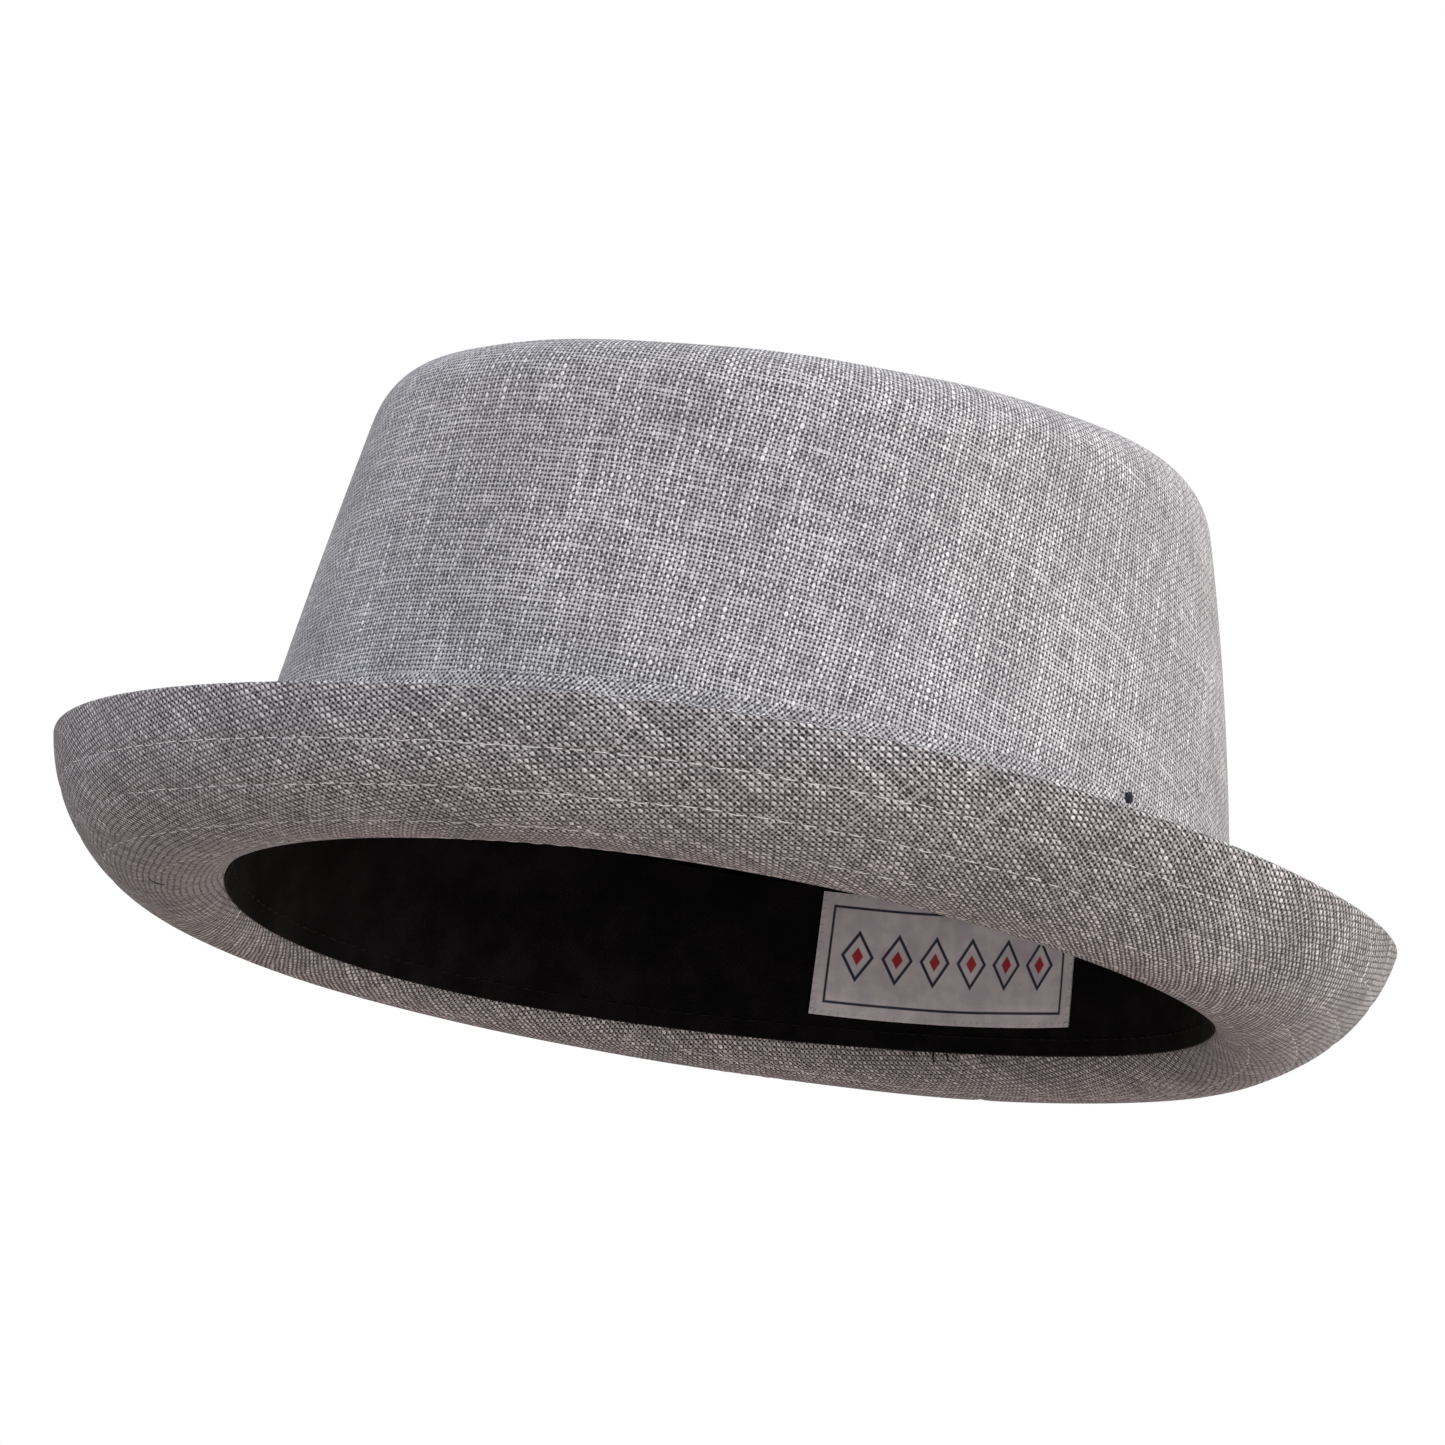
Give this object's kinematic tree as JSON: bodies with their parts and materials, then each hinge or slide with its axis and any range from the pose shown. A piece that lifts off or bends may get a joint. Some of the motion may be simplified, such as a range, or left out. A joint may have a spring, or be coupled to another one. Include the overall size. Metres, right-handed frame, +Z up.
{
  "type": "pork pie hat",
  "caption": "Sewn pork pie hat in grey linen-look cloth: short oval crown with a creased top, hatband, and a narrow stitched brim that curls up all round.",
  "frame": {"origin": "on the surface the hat stands on, below the middle of its brim", "axes": "the front of the hat faces -Y, the wearer's left is +X, +Z up"},
  "size_m": [0.2398, 0.259, 0.1092],
  "materials": {
    "crown_cloth": "grey plain-weave linen look, vertical grain with pale slubs",
    "crown_tip_cloth": "grey plain-weave linen look",
    "hatband_cloth": "grey plain-weave linen look, cut on the bias",
    "brim_upper_cloth": "grey plain-weave linen look",
    "brim_under_cloth": "grey plain-weave linen look",
    "interlining": "white fusible stiffener",
    "lining": "black plain-weave cotton",
    "sweatband": "black cotton twill",
    "grey_thread": "polyester thread",
    "stitching_thread": "grey polyester thread",
    "black_thread": "black polyester thread",
    "tack_thread": "dark navy thread",
    "label": "white damask-woven label, plain border pattern",
    "label_thread": "white thread"
  },
  "bodies": {
    "root": {"crown_side": "crown_cloth", "crown_tip": "crown_tip_cloth", "crown_side_interlining": "interlining", "crown_tip_interlining": "interlining", "lining_side": "lining", "lining_tip": "lining", "back_seam_thread": "grey_thread", "crown_tip_thread": "grey_thread", "lining_tip_thread": "black_thread", "brim_upper": "brim_upper_cloth", "brim_interlining": "interlining", "brim_under": "brim_under_cloth", "brim_stitch_row_1": "stitching_thread", "brim_stitch_row_2": "stitching_thread", "brim_stitch_row_3": "stitching_thread", "brim_stitch_row_4": "stitching_thread", "hatband": "hatband_cloth", "hatband_tack": "tack_thread", "sweatband": "sweatband", "sweatband_thread": "black_thread", "woven_label": "label", "label_thread": "label_thread"}
  },
  "joints": []
}
